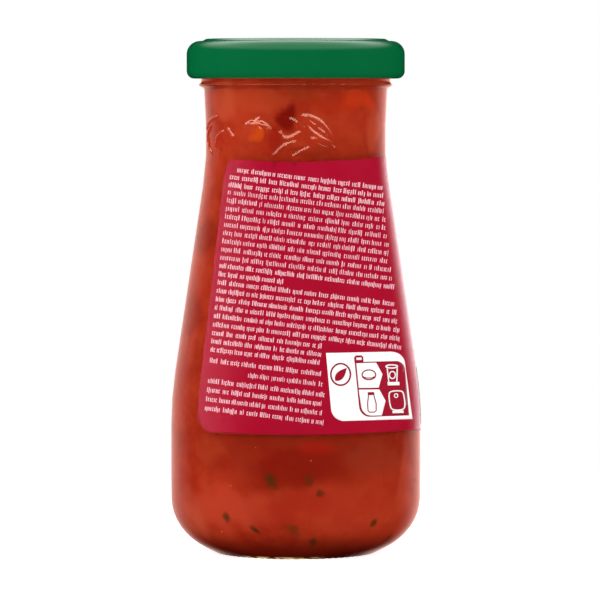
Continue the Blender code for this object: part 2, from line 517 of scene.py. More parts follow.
NECK_LOW = 119.5 * MM
NECK_HIGH = 139.3 * MM
RELIEF_RADIUS = 27.3 * MM
RELIEF_STEP = 0.32 * MM
INSIDE_STEP = 8.0 * MM
OUTSIDE_STEP = 5.0 * MM
GLASS_COLUMNS = 504
KNURLS = 72
KNURL_DEPTH = 0.1 * MM
KNURL_HEIGHT = 0.4 * MM

# The moulded motif, in mm round the neck and up from the floor. The tomato is (x, z, size), a leaf
# (x0, z0, x1, z1, belly, veins) and a ridge (points, width, height).
NECK_TOMATO = (-12.0, 126.4, 5.4)
NECK_SWELL = 0.7
NECK_LEAVES = ((2.4, 132.2, 11.9, 124.4, 1.9, 2), (5.2, 125.6, 11.8, 122.8, 0.9, 0))
NECK_RIDGES = (
    (((-1.6, 131.4), (0.0, 130.6), (0.7, 129.0)), 0.34, 0.5),
    (((2.8, 128.9), (4.6, 127.7)), 0.44, 0.5),
    (((-0.4, 124.6), (-3.4, 123.4), (-6.4, 120.6)), 0.38, 0.5),
    (((3.8, 122.8), (1.4, 121.6), (-0.8, 120.2)), 0.32, 0.36),
    (((-4.6, 127.2), (-3.8, 126.0), (-2.2, 125.7), (-0.6, 126.2), (1.0, 127.3)), 0.42, 0.45),
    (((-37.2, 128.5), (-33.7, 130.8), (-28.0, 132.1)), 0.3, 0.5),
    (((-29.3, 123.1), (-28.6, 125.7), (-25.3, 127.6)), 0.3, 0.5),
    (((-27.5, 121.0), (-28.8, 124.0), (-27.5, 126.4)), 0.3, 0.5),
    (((-34.7, 125.5), (-34.2, 122.8), (-32.4, 121.3)), 0.3, 0.5),
    (((-22.6, 128.4), (-21.4, 126.9), (-20.4, 126.2)), 0.3, 0.5),
    (((-36.0, 124.6), (-35.4, 127.2), (-33.0, 129.0)), 0.3, 0.5),
)


def tomato_ridges(x, z, size):
    """A tomato's two flanks, the five tips of its calyx and its stalk, as (points, width, height)."""
    ridges = []
    turns = np.linspace(-1.0, 0.9, 9)
    for k in (-0.66, 0.64):
        flank = [(x + k * size * math.cos(a), z + size * 0.8 * math.sin(a)) for a in turns]
        ridges.append((flank, 0.36, 0.26))
    top = (x - 0.5, z + size * 0.62)
    for turn in (-172, -134, -92, -50, -10):
        reach = Vector((math.cos(math.radians(turn)), 0.6 * math.sin(math.radians(turn)))) * size * 0.56
        middle = (top[0] + reach.x * 0.5, top[1] + reach.y * 0.5 + size * 0.1)
        ridges.append(([top, middle, (top[0] + reach.x, top[1] + reach.y)], 0.42, 0.62))
    ridges.append(([top, (top[0] + 0.4, top[1] + 1.0), (top[0] + 1.2, top[1] + 1.7)], 0.42, 0.5))
    return ridges


def leaf_ridges(x0, z0, x1, z1, belly, veins):
    """A leaf's two edges, its midrib and the veins on one side, as (points, width, height)."""
    ridges = []
    foot = Vector((x0, z0))
    along = Vector((x1 - x0, z1 - z0))
    side = Vector((-along.y, along.x)).normalized()
    for sign in (-1, 1):
        bulges = [(t, sign * belly * math.sin(math.pi * t**0.8)) for t in np.linspace(0, 1, 10)]
        ridges.append(([tuple(foot + along * t + side * bulge) for t, bulge in bulges], 0.4, 0.62))
    ridges.append(([(x0, z0), (x0 + along.x * 0.85, z0 + along.y * 0.85)], 0.34, 0.5))
    for k in range(veins):
        base = foot + along * (0.3 + 0.3 * k)
        tip = base + along.normalized() * belly * 0.7 + side * belly * 0.55
        ridges.append(([tuple(base), tuple(tip)], 0.3, 0.36))
    return ridges


def neck_relief(turn, height):
    """How far the moulded motif stands out, once on the shown side and once more behind."""
    ridges = [*tomato_ridges(*NECK_TOMATO), *NECK_RIDGES]
    for leaf in NECK_LEAVES:
        ridges += leaf_ridges(*leaf)
    cx, cz, half = NECK_TOMATO
    result = np.zeros_like(height)
    for shift in (0.0, math.pi):
        across = (turn - shift + math.pi) % math.tau - math.pi
        x = across * RELIEF_RADIUS / MM
        z = height / MM
        inside = np.clip(1 - ((x - cx) / (half * 1.02)) ** 2 - ((z - cz) / (half * 0.9)) ** 2, 0, 1)
        swell = NECK_SWELL * np.sqrt(inside)
        lines = np.zeros_like(x)
        for points, width, tall in ridges:
            curve = stroke_points(points, steps=3) if len(points) > 2 else [Vector(p) for p in points]
            nearest = np.full_like(x, 1e9)
            for a, b in zip(curve, curve[1:]):
                along = b - a
                size = max(along.length_squared, 1e-9)
                t = np.clip(((x - a.x) * along.x + (z - a.y) * along.y) / size, 0, 1)
                nearest = np.minimum(nearest, (x - a.x - t * along.x) ** 2 + (z - a.y - t * along.y) ** 2)
            lines = np.maximum(lines, tall * np.exp(-nearest / (2 * width**2)))
        result = np.maximum(result, swell + lines)
    return result * MM


def make_glass():
    mouth = (MOUTH_RADIUS, RIM_HEIGHT, RIM_ROUNDING)
    rim = (FINISH_RADIUS, RIM_HEIGHT, RIM_ROUNDING)
    inner = outline([(0, FLOOR_HEIGHT, 0), *inner_wall(), mouth, rim], math.radians(10))[:-1]
    outer = outline([(MOUTH_RADIUS, RIM_HEIGHT, 0), *outer_wall(), *foot()], math.radians(9))[1:]
    inner = finer(inner, lambda z: INSIDE_STEP)
    outer = finer(outer, lambda z: RELIEF_STEP if NECK_LOW < z < NECK_HIGH else OUTSIDE_STEP)
    count = len(inner)

    def shape(radius, height, turn):
        """The motif on the neck, and the small notches that jars have round their foot ring."""
        radius = radius.copy()
        height = height.copy()
        outside = np.zeros(radius.shape, bool)
        outside[count - 1:] = True
        neck = outside & (height > NECK_LOW) & (height < NECK_HIGH)
        above = np.clip((height[neck] - NECK_LOW) / MM, 0, 1)
        below = np.clip((NECK_HIGH - height[neck]) / MM, 0, 1)
        radius[neck] += neck_relief(turn[neck], height[neck]) * above * below
        ring = outside & (height < KNURL_HEIGHT) & (radius > FOOT_RING_INSIDE - 0.5 * MM)
        height[ring] += KNURL_DEPTH * (0.5 - 0.5 * np.cos(turn[ring] * KNURLS)) ** 2
        return radius, height

    mesh = lathe("glass", inner + outer, GLASS_COLUMNS, shape)
    return add_object("glass", mesh, glass_material(), stands_for="glass_jar")


# Sauce


SAUCE_COLUMNS = 240
SAUCE_STEP = 1.2 * MM

# Patches laid on the pulp that show through the glass, partly the pulp's own uneven tone and partly painted
# light and shade:
# (x, y, half width, half height) in pixels, colour, strength
SAUCE_TONES_AND_PAINTED_LIGHT = (
    ((362, 99, 26, 11), (0.93, 0.070, 0.014), 0.75),
    ((258, 98, 28, 13), (0.77, 0.105, 0.032), 0.5),
    ((220, 100, 24, 18), (0.90, 0.160, 0.065), 0.55),
    ((306, 94, 18, 8), (0.47, 0.060, 0.011), 0.45),
    ((330, 106, 18, 13), (0.61, 0.028, 0.007), 0.45),
    ((290, 117, 9, 10), (0.26, 0.005, 0.004), 0.85),
    # Painted highlight and painted shade of the moulded tomato on the neck: an orange highlight, and a dark
    # arc on its right side.
    ((254, 132, 8, 6), (0.90, 0.123, 0.011), 0.7),
    ((274, 140, 7, 14), (0.47, 0.018, 0.007), 0.5),
    ((312, 152, 30, 7), (0.36, 0.028, 0.007), 0.45),
    # Painted shade: the two rows below darken a band under the label's lower edge.
    ((300, 455, 112, 34), (0.37, 0.021, 0.008), 0.62),
    ((298, 468, 44, 22), (0.33, 0.009, 0.005), 0.5),
    ((318, 446, 14, 8), (0.69, 0.021, 0.011), 0.5),
    # Painted light: these rows lighten the pulp towards the jar's left and right edges and below the darker
    # band.
    ((378, 458, 34, 20), (0.52, 0.070, 0.028), 0.45),
    ((205, 452, 20, 16), (0.69, 0.088, 0.029), 0.4),
    ((215, 506, 60, 17), (0.80, 0.090, 0.042), 0.6),
    ((350, 508, 70, 17), (0.66, 0.056, 0.024), 0.5),
    ((300, 506, 30, 12), (0.60, 0.036, 0.016), 0.5),
    ((180, 508, 32, 24), (0.90, 0.170, 0.085), 0.4),
    ((408, 478, 14, 34), (0.80, 0.120, 0.060), 0.5),
    # Painted light: lighter pulp at the neck's right edge.
    ((376, 130, 12, 26), (0.85, 0.140, 0.062), 0.5),
)

# Painted shade: the pulp is darkened where it rests on the floor of the glass
PAINTED_BASE_SHADE = (0.17, 0.011, 0.005)
PAINTED_BASE_SHADE_TOP = 10.4 * MM
PAINTED_BASE_SHADE_FADE = 6.0 * MM
PAINTED_BASE_SHADE_STRENGTH = 0.95

# Leaf pieces that the photograph shows, and tiny painted highlights of small bubbles: (x, y, length, width,
# tilt) in pixels and degrees, then colour and strength
HERB_BROWN = (0.115, 0.046, 0.008)
HERB_GREEN = (0.050, 0.040, 0.008)
# Painted highlight: the light colour of tiny bubble glints in the pulp.
PAINTED_BUBBLE_HIGHLIGHT = (0.92, 0.30, 0.20)
HERBS_AND_HIGHLIGHTS_SHOWN = (
    ((269.5, 481.5, 25, 17, 52), HERB_BROWN, 0.9),
    ((309.5, 480.5, 17, 13, 80), HERB_BROWN, 0.75),
    ((321, 494, 12, 11, 10), HERB_BROWN, 0.9),
    ((220.5, 516.5, 13, 12, 60), HERB_BROWN, 0.95),
    ((249, 528, 15, 7.5, 32), HERB_GREEN, 1.0),
    ((292, 528, 20, 14, 20), HERB_BROWN, 0.6),
    ((318.5, 540.8, 10, 9, 0), HERB_GREEN, 0.85),
    ((381, 521, 10, 9, 30), HERB_GREEN, 0.9),
    ((407, 529, 7, 6, 30), HERB_GREEN, 0.8),
    ((416.5, 480, 6, 12, 80), HERB_GREEN, 0.8),
    ((356, 450, 10, 8, 0), HERB_BROWN, 0.25),
    ((268, 118, 8, 5, 40), HERB_BROWN, 0.3),
    # Painted highlights: tiny bright glints of small bubbles.
    ((311.6, 461, 2.4, 2.0, 0), PAINTED_BUBBLE_HIGHLIGHT, 0.9),
    ((254, 448, 2.2, 1.6, 20), PAINTED_BUBBLE_HIGHLIGHT, 0.6),
    ((210, 528, 2.4, 2.0, 0), PAINTED_BUBBLE_HIGHLIGHT, 0.8),
    ((228, 486, 4.5, 1.6, -20), PAINTED_BUBBLE_HIGHLIGHT, 0.6),
)
HERB_RINGS = 6
HERB_COLUMNS = 20
HERB_SUNK = -0.03 * MM
HERB_EDGE = 0.08 * MM
HERB_BACK = 0.3 * MM
HERBS_HIDDEN = 60
PATCHES_HIDDEN = 80
HIDDEN_COLOURS = (
    SAUCE_DARK, (0.25, 0.006, 0.003), (0.62, 0.045, 0.014), (0.52, 0.016, 0.008), (0.38, 0.026, 0.008)
)
PATCH_ANGLES = (math.radians(65), math.radians(295))
HERB_ANGLES = (math.radians(84), math.radians(276))
PATCH_REACH = 1.35
PATCH_FADE = 0.8
WARP_SCALE = 160
WARP_ACROSS = 4 * MM
WARP_UP = 3 * MM
DIMPLE = 0.8 * MM


def sauce_outline():
    top = MOUTH_RADIUS + SAUCE_INTO_WALL
    return [
        (0, SAUCE_LEVEL - DIMPLE, 0),
        (top - 2 * DIMPLE, SAUCE_LEVEL - DIMPLE, DIMPLE),
        (top, SAUCE_LEVEL, 0),
        *reversed(inner_wall(-SAUCE_INTO_WALL)),
        (0, FLOOR_HEIGHT - SAUCE_INTO_WALL, 0),
    ]


sauce_side = [p for p in outline(sauce_outline(), FINE) if FLOOR_HEIGHT < p.y < SAUCE_LEVEL - 2 * MM]
sauce_side.sort(key=lambda p: p.y)
SAUCE_HEIGHTS = np.array([p.y for p in sauce_side])
SAUCE_RADII = np.array([p.x for p in sauce_side])


def sauce_tones_and_painted_light():
    """The patches as (angle, height, half width, half height, colour, strength), and more behind. Those on
    the shown side include painted light and shade.
    """
    tones_and_painted_light = []
    for (x, y, wide, tall), colour, strength in SAUCE_TONES_AND_PAINTED_LIGHT:
        angle, height = place_by_pixel(x, y)
        tones_and_painted_light.append((angle, height, wide * PIXEL, tall * PIXEL, colour, strength))
    draw = random.Random(11)
    for _ in range(PATCHES_HIDDEN):
        tones_and_painted_light.append((draw.uniform(*PATCH_ANGLES), draw.uniform(8 * MM, 142 * MM),
                        draw.uniform(4, 14) * MM, draw.uniform(3, 7) * MM,
                        draw.choice(HIDDEN_COLOURS), draw.uniform(0.3, 0.6)))
    return tones_and_painted_light


def tone_and_painted_light_at(spots, tones_and_painted_light):
    """The patches' colour at each spot, with painted shade towards the floor of the glass, and how much of
    the pulp it covers.
    """
    angles = np.arctan2(spots[:, 0], -spots[:, 1])
    reach = np.maximum(np.hypot(spots[:, 0], spots[:, 1]), 0.1 * MM)
    warp = np.array([noise.noise_vector(Vector(p) * WARP_SCALE) for p in spots])
    colour = np.zeros((len(spots), 3))
    cover = np.zeros(len(spots))
    for angle, height, wide, tall, tint, strength in tones_and_painted_light:
        turn = (angles - angle + math.pi) % math.tau - math.pi
        across = (turn * reach + warp[:, 0] * WARP_ACROSS) / wide
        up = (spots[:, 2] - height + warp[:, 2] * WARP_UP) / tall
        near = np.clip(PATCH_REACH - np.sqrt(across**2 + up**2), 0, PATCH_FADE) / PATCH_FADE
        colour, cover = lay(colour, cover, np.array(tint), strength * ease(near))
    # Painted shade: the pulp darkens towards the floor of the glass.
    low = np.clip((PAINTED_BASE_SHADE_TOP - spots[:, 2]) / PAINTED_BASE_SHADE_FADE, 0, 1)
    return lay(colour, cover, np.array(PAINTED_BASE_SHADE), PAINTED_BASE_SHADE_STRENGTH * ease(low))


def lay(colour, cover, tint, weight):
    """One more colour laid over those already there."""
    total = cover * (1 - weight) + weight
    share = (weight / np.maximum(total, 1e-6))[:, None]
    return colour * (1 - share) + tint * share, total


def keep_tone_and_painted_light(mesh, colour, cover):
    layer = mesh.attributes.new("tone_and_painted_light", "FLOAT_COLOR", "POINT")
    values = np.concatenate([colour, cover[:, None]], axis=1)
    layer.data.foreach_set("color", values.astype(np.float32).ravel())


def make_sauce(tones_and_painted_light, pulp):
    points = finer(outline(sauce_outline(), math.radians(6)), lambda z: SAUCE_STEP)
    mesh = lathe("sauce_fill", points, SAUCE_COLUMNS)
    add_object("sauce_fill", mesh, pulp, stands_for="sauce")
    spots = np.array([v.co for v in mesh.vertices])
    keep_tone_and_painted_light(mesh, *tone_and_painted_light_at(spots, tones_and_painted_light))


def herb_points(angle, height, length, width, tilt, seed):
    """The points and strengths of a ragged flake on the glass: middle, rings round it, back."""
    points = []
    fades = []
    lean = math.radians(tilt)

    def add(x, y, deep, fade):
        up = height - x * math.sin(lean) + y * math.cos(lean)
        reach = float(np.interp(up, SAUCE_HEIGHTS, SAUCE_RADII)) - deep
        around = angle + (x * math.cos(lean) + y * math.sin(lean)) / reach
        points.append((reach * math.sin(around), -reach * math.cos(around), up))
        patchy = 0.85 + 0.4 * noise.noise(Vector((x, y, 0)) / MM * 0.9 + seed)
        fades.append(min(1.0, fade * patchy))

    add(0, 0, HERB_SUNK, 1)
    for ring in range(1, HERB_RINGS + 1):
        share = ring / HERB_RINGS
        solid = min(1.0, (1 - share) / 0.8)
        for column in range(HERB_COLUMNS):
            turn = math.tau * column / HERB_COLUMNS
            way = Vector((math.cos(turn), math.sin(turn), 0))
            ragged = 1 + 0.34 * noise.noise(way * 1.1 + seed) + 0.2 * noise.noise(way * 2.7 + seed)
            add(way.x * length / 2 * ragged * share, way.y * width / 2 * ragged * share,
                HERB_SUNK + HERB_EDGE * share**4, ease(solid))
    add(0, 0, HERB_BACK, 0)
    return points, fades


def herb_faces(start):
    """The faces of one flake whose points start at an index."""
    faces = []
    back = start + 1 + HERB_RINGS * HERB_COLUMNS
    for column in range(HERB_COLUMNS):
        beside = (column + 1) % HERB_COLUMNS
        faces.append((start, start + 1 + column, start + 1 + beside))
        for ring in range(HERB_RINGS - 1):
            low = start + 1 + ring * HERB_COLUMNS
            high = low + HERB_COLUMNS
            faces.append((low + column, high + column, high + beside, low + beside))
        faces.append((back - HERB_COLUMNS + column, back, back - HERB_COLUMNS + beside))
    return faces


def make_herbs_and_highlights(tones_and_painted_light, pulp):
    draw = random.Random(5)
    flakes = []
    for (x, y, length, width, tilt), colour, strength in HERBS_AND_HIGHLIGHTS_SHOWN:
        angle, height = place_by_pixel(x, y)
        flakes.append((angle, height, length * PIXEL, width * PIXEL, tilt, colour, strength))
    for _ in range(HERBS_HIDDEN):
        flakes.append((draw.uniform(*HERB_ANGLES), draw.uniform(10 * MM, 138 * MM),
                       draw.uniform(1.6, 5.0) * MM, draw.uniform(1.2, 2.8) * MM, draw.uniform(0, 180),
                       draw.choice((HERB_BROWN, HERB_GREEN)), draw.uniform(0.5, 1.0)))
    points = []
    faces = []
    tints = []
    weights = []
    for angle, height, length, width, tilt, colour, strength in flakes:
        seed = Vector((draw.uniform(0, 50), draw.uniform(0, 50), draw.uniform(0, 50)))
        height = max(height, SAUCE_HEIGHTS[0] + width)
        flake, fades = herb_points(angle, height, length, width, tilt, seed)
        faces += herb_faces(len(points))
        points += flake
        tints += [colour] * len(flake)
        weights += [strength * fade for fade in fades]
    mesh = mesh_from(points, faces, "herb_flecks_and_highlights")
    add_object("herb_flecks_and_highlights", mesh, pulp)
    spots = np.array(points)
    colour, cover = tone_and_painted_light_at(spots, tones_and_painted_light)
    keep_tone_and_painted_light(mesh, *lay(colour, cover, np.array(tints), np.array(weights)))


# Lid

LID_COLUMNS = 256
PANEL_HEIGHT = LID_TOP - 0.4 * MM
BUTTON_HEIGHT = PANEL_HEIGHT - 0.3 * MM
BUTTON_EDGES = (8.8 * MM, 10.0 * MM)
RAISED_RING = (21.3 * MM, 22.5 * MM, 27.1 * MM, 28.3 * MM)
CURL_RADIUS = 30.0 * MM
CURL_TOP = LID_BOTTOM + 2.8 * MM
CURL_END = LID_BOTTOM + 3.7 * MM
SEAL_RADIUS = 24.4 * MM
SEAL_GAP = 0.3 * MM
PRESSED = 0.8 * MM


def make_lid():
    skirt_inside = LID_RADIUS - LID_SHEET
    seal = RIM_HEIGHT + SEAL_GAP
    under = BUTTON_HEIGHT - LID_SHEET
    corners = [
        (0, BUTTON_HEIGHT, 0),
        (BUTTON_EDGES[0], BUTTON_HEIGHT, PRESSED),
        (BUTTON_EDGES[1], PANEL_HEIGHT, PRESSED),
        (RAISED_RING[0], PANEL_HEIGHT, PRESSED),
        (RAISED_RING[1], LID_TOP, 0.6 * MM),
        (RAISED_RING[2], LID_TOP, 0.6 * MM),
        (RAISED_RING[3], LID_SHOULDER_HEIGHT, 0.7 * MM),
        (LID_RADIUS, LID_SHOULDER_HEIGHT, 4.0 * MM),
        (LID_RADIUS, LID_BOTTOM, 2.3 * MM),
        (CURL_RADIUS, LID_BOTTOM, LID_SHEET),
        (CURL_RADIUS, CURL_TOP, LID_SHEET),
        (skirt_inside, CURL_END, 0),
        (skirt_inside, seal, LID_SHEET),
        (SEAL_RADIUS, seal, LID_SHEET),
        (SEAL_RADIUS - LID_SHEET, under, 0),
        (0, under, 0),
    ]
    mesh = lathe("cap", outline(corners, math.radians(6)), LID_COLUMNS)
    return add_object("cap", mesh, lid_material(), stands_for="lid")


# Label

LABEL_ROWS = 70
LABEL_COLUMNS = 190
LABEL_CORNER_COLUMNS = 14


def label_edges(angle):
    """(bottom, top) of the label at an angle, with its corners rounded."""
    inset = min(angle - LABEL_START, LABEL_END - angle) * BODY_RADIUS
    short = max(0.0, LABEL_CORNER - inset)
    cut = LABEL_CORNER - math.sqrt(max(0.0, LABEL_CORNER**2 - short**2))
    share = min(max((angle - LABEL_DROP_START) / (LABEL_DROP_END - LABEL_DROP_START), 0.0), 1.0)
    drop = LABEL_FRONT_DROP * ease(share)
    rise = LABEL_TOP_RISE * math.sin(angle) ** 2
    return LABEL_BOTTOM - drop + cut, LABEL_TOP + rise - cut


def label_angles():
    """The angles of the label's columns, close together at its rounded corners."""
    corner = LABEL_CORNER / BODY_RADIUS
    turns = [i / LABEL_CORNER_COLUMNS * math.pi / 2 for i in range(LABEL_CORNER_COLUMNS)]
    ends = [corner * (1 - math.cos(turn)) for turn in turns]
    middle = np.linspace(LABEL_START + corner, LABEL_END - corner, LABEL_COLUMNS).tolist()
    return [LABEL_START + e for e in ends] + middle + [LABEL_END - e for e in reversed(ends)]


def make_label():
    angles = label_angles()
    verts = []
    for angle in angles:
        bottom, top = label_edges(angle)
        for row in range(LABEL_ROWS + 1):
            verts.append(on_glass(angle, bottom + (top - bottom) * row / LABEL_ROWS, LABEL_INNER_LIFT))
    side = LABEL_ROWS + 1
    faces = []
    for i in range(len(angles) - 1):
        for j in range(LABEL_ROWS):
            faces.append((i * side + j, (i + 1) * side + j, (i + 1) * side + j + 1, i * side + j + 1))
    mesh = mesh_from(verts, faces, "label_sheet")
    obj = add_object("label_sheet", mesh, film_material(), stands_for="label")
    thick = obj.modifiers.new("Thickness", "SOLIDIFY")
    thick.thickness = LABEL_OUTER_LIFT - LABEL_INNER_LIFT
    thick.offset = 1.0
    obj.modifiers.new("Crisp rim", "EDGE_SPLIT").split_angle = math.radians(50)
    return obj


# Print. Each mark is a thin closed slab that is sunk in the label and stands a hair above it.

INK_SUNK = 0.04 * MM
TINY = 1e-6


class Print:
    """Flat shapes of one colour, drawn on a plane and bent onto the label."""

    def __init__(self, name, ink, layer, place, step=0):
        self.name = name
        self.ink = ink_material(ink)
        self.lift = LABEL_OUTER_LIFT + INK * layer
        self.place = place
        self.step = step
        self.flat = bmesh.new()

    def patch(self, points):
        """A filled shape."""
        self.flat.faces.new([self.flat.verts.new((x, y, 0)) for x, y in points])

    def stroke(self, points, width, closed=False):
        """A line of even width."""
        points = [Vector(p[:2]) for p in points]
        if closed:
            points.append(points[0])
        sides = []
        last = len(points) - 1
        for i, point in enumerate(points):
            before = points[i - 1] if i else (points[last - 1] if closed else point)
            after = points[i + 1] if i < last else (points[1] if closed else point)
            along = (after - before).normalized()
            normal = Vector((-along.y, along.x)) * width / 2
            sides.append((point + normal, point - normal))
        for (a, b), (c, d) in zip(sides, sides[1:]):
            self.patch([a, b, d, c])

    def ring(self, cx, cy, rx, ry, count, width):
        self.stroke(circle_points(cx, cy, rx, ry, count)[:-1], width, closed=True)

    def cut(self):
        """Cuts the shapes along a square grid, so that they can bend with the label."""
        for axis, plane in enumerate((Vector((1, 0, 0)), Vector((0, 1, 0)))):
            spots = [v.co[axis] for v in self.flat.verts]
            at = math.floor(min(spots) / self.step) * self.step
            while at < max(spots):
                shapes = self.flat.verts[:] + self.flat.edges[:] + self.flat.faces[:]
                bmesh.ops.bisect_plane(self.flat, geom=shapes, plane_co=plane * at, plane_no=plane,
                                       dist=TINY)
                at += self.step

    def make(self):
        if self.step:
            self.cut()
        bmesh.ops.triangulate(self.flat, faces=self.flat.faces[:])
        bmesh.ops.remove_doubles(self.flat, verts=self.flat.verts[:], dist=10 * TINY)
        for vertex in self.flat.verts:
            angle, height = self.place(vertex.co.x, vertex.co.y)
            vertex.co = on_glass(angle, height, self.lift)
        for face in self.flat.faces:
            middle = face.calc_center_median()
            face.normal_update()
            if face.normal.dot(Vector((middle.x, middle.y, 0))) < 0:
                face.normal_flip()
        mesh = mesh_of(self.flat, self.name)
        mesh.shade_smooth()
        obj = add_object(self.name, mesh, self.ink)
        thick = obj.modifiers.new("Thickness", "SOLIDIFY")
        thick.thickness = self.lift - LABEL_OUTER_LIFT + INK_SUNK
        thick.offset = -1.0
        return obj


def all_round(x, y):
    return x * MM / BODY_RADIUS, y * MM


def shown_side(x, y):
    return place_by_pixel(x, y, LABEL_OUTER_LIFT)


FRONT_CENTRE = math.radians(163)
FRONT_RADIUS = 33.5


def hidden_side(x, y):
    return FRONT_CENTRE + x / FRONT_RADIUS, y * MM


# The rows of small print: (left x, y of its middle, right x) in pixels, then how bold they are
LINE_SLOPE = 0.1235
BOLD_ROWS = ((237.4, 170.3, 382, 1.0), (230.0, 177.2, 383, 1.0), (228.8, 185.0, 384, 1.0))
LONG_ROWS = 17
LONG_START = (228.0, 192.4)
LONG_END = (384, 190)
LONG_END_SLOPE = 0.129
FAINT_ROWS = 9
BROKEN_ROW = 10
BROKEN_END = 283.7
SHORT_ROWS = 4
SHORT_END = 322.0
LONE_ROW = (248.2, 375.6, 321.8, 0.2)
LOW_START = (208.2, 381.0)
LOW_ENDS = (324, 323.5, 322.5, 324)

# The marks in a row: how many make a word, their widths and the gaps between them, in pixels
WORD_MARKS = (2, 4, 5, 6, 7, 8, 9, 11)
MARK_PITCH = 1.75
MARK_WIDTHS = (0.46, 0.56, 0.72, 1.25)
MARK_GAPS = (0.55, 0.65, 0.8, 0.95)
WORD_GAPS = (1.4, 1.8, 2.4)
MARK_LEAN = 0.12
MARK_HALF = 1.9
TALL_MARK = 3.1
DEEP_MARK = 2.9


def text_rows():
    """Where the rows of small print start and end, and how bold they are."""
    rows = list(BOLD_ROWS)
    left, y = LONG_START
    for i in range(LONG_ROWS):
        right = LONG_END[0] + (y - LONG_END[1]) * LONG_END_SLOPE
        rows.append((left, y, BROKEN_END if i == BROKEN_ROW else right, 0.1 if i < FAINT_ROWS else 0.5))
        left -= 0.93
        y += 8.05 + 0.028 * i
    for i in range(SHORT_ROWS):
        rows.append((left, y, SHORT_END, 0.5))
        left -= 0.75
        y += 8.3 if i < 2 else 11
    rows.append(LONE_ROW)
    left, y = LOW_START
    for right in LOW_ENDS:
        rows.append((left, y, right, 0.4))
        left -= 1.07
        y += 9.1
    return rows


def draw_rows(pen, draw):
    """Small print as rows of plain marks in word-long groups, with no letters."""
    for left, y0, right, bold in text_rows():
        x = left
        while x < right - 2:
            end = x + min(draw.choice(WORD_MARKS) * MARK_PITCH, right - x)
            while x < end - 0.5:
                wide = draw.choice(MARK_WIDTHS) + 0.22 * bold
                y = y0 + LINE_SLOPE * (x - left)
                rise = TALL_MARK if draw.random() < 0.26 else MARK_HALF
                fall = DEEP_MARK if draw.random() < 0.08 else MARK_HALF
                if wide > 1.2 and rise < TALL_MARK:
                    low = draw.choice((0.2, 1.0))
                    mark(pen, x, y, wide, rise, -rise + 0.9)
                    mark(pen, x, y, wide, -low, low + 0.8)
                    mark(pen, x, y, 0.6, rise, fall)
                else:
                    mark(pen, x, y, min(wide, 0.95), rise, fall)
                x += wide + draw.choice(MARK_GAPS) * (1.4 - 0.8 * min(bold, 0.5))
            x += draw.choice(WORD_GAPS)


def mark(pen, x, y, wide, rise, fall):
    """One upright bar of small print, leaning a little, from rise above y to fall below it."""
    pen.patch([
        (x + MARK_LEAN * rise, y - rise),
        (x + MARK_LEAN * rise + wide, y - rise + LINE_SLOPE * wide),
        (x - MARK_LEAN * fall + wide, y + fall + LINE_SLOPE * wide),
        (x - MARK_LEAN * fall, y + fall),
    ])


def corner(cx, cy, rx, ry, first, last):
    return circle_points(cx, cy, rx, ry, 8, math.radians(first), math.radians(last))


def draw_panel(panel, field):
    """The white panel, and the crimson field, tab, ring and leaf on it."""
    panel.patch([(326, 353), (391, 351.6), *corner(391.5, 364, 13.5, 12.2, -90, 0)[1:], (412.4, 419),
                 (342, 421), *corner(344, 408, 13, 13, 100, 175)])
    field.patch([(354.6, 362), (397, 361), *corner(396, 370.5, 9, 9.5, -80, 0)[1:], (409, 415.4),
                 (369, 416.8), *corner(370, 405.8, 11, 11, 95, 175)])
    field.patch([(354.4, 362.2), (354.0, 357.4), (355.8, 355.4),
                 (361.4, 355.3), (363.2, 357.0), (363.4, 362.0)])
    field.ring(340.6, 374.4, 9.8, 10.8, 36, 1.7)
    field.patch(leaf_shape(335.2, 380.8, 346.8, 367.8, 4.0))


def draw_boxes(pen):
    """The white boxes on the field, and a cup and a jar in outline beside them."""
    pen.patch([(356.2, 363.2), (376, 362.6), (382.3, 374.2), (378.6, 387.6), (358.6, 388)])
    pen.patch([(358.6, 389.6), (379.2, 389.4), (385.4, 400.8), (381.6, 415.4), (371, 415.7),
               *corner(371, 405, 10, 10.6, 98, 170)])
    pen.patch([(356.2, 360.0), (361.6, 359.8), (361.4, 357.4), (356.2, 357.6)])
    pen.stroke([(387.0, 368.2), (388.8, 383.0), (396.6, 382.8), (397.0, 368.0)], 1.2)
    pen.ring(391.6, 366.4, 5.8, 1.6, 20, 1.3)
    pen.patch([(387.2, 382.0), (399.0, 381.8), (399.4, 385.2), (387.6, 385.4)])
    pen.ring(392.2, 375.0, 3.0, 3.6, 14, 1.1)
    jar = [(388.9, 395.0), (391.4, 391.4), (400.8, 391.1), (403.4, 394.6), (404.7, 405.0), (402.2, 409.4),
           (393.4, 409.7), (390.2, 406.0)]
    pen.stroke(stroke_points(jar, closed=True, steps=4)[:-1], 1.2, closed=True)
    pen.patch([(392.2, 410.6), (403.4, 410.4), (403.4, 413.0), (392.4, 413.2)])
    pen.ring(395.9, 395.6, 1.7, 2.0, 12, 1.0)


def draw_icons(pen):
    """A bowl and a bottle in outline, in the white boxes."""
    pen.ring(368.7, 374.8, 6.8, 4.9, 28, 1.2)
    pen.stroke([(362.6, 376.6), (366.2, 378.0), (371.2, 378.0), (374.8, 376.4)], 1.0)
    bottle = [(367.8, 392.6), (373.6, 392.4), (373.9, 396.2), (375.9, 403.6), (376.0, 410.4), (374.6, 412.0),
              (369.4, 412.2), (367.9, 410.8), (367.4, 403.8), (368.2, 396.4)]
    pen.stroke(bottle, 1.0, closed=True)
    pen.patch([(367.6, 392.4), (373.8, 392.2), (373.8, 395.0), (367.8, 395.2)])


# Painted shadow: a thin dark line along the label's bottom edge, drawn as a mark of ink.
SHADOW_LINE_WIDTH = 0.34
SHADOW_LINE_INSET = 0.2
SHOWN_STEP = 3.0
HIDDEN_STEP = 2.0


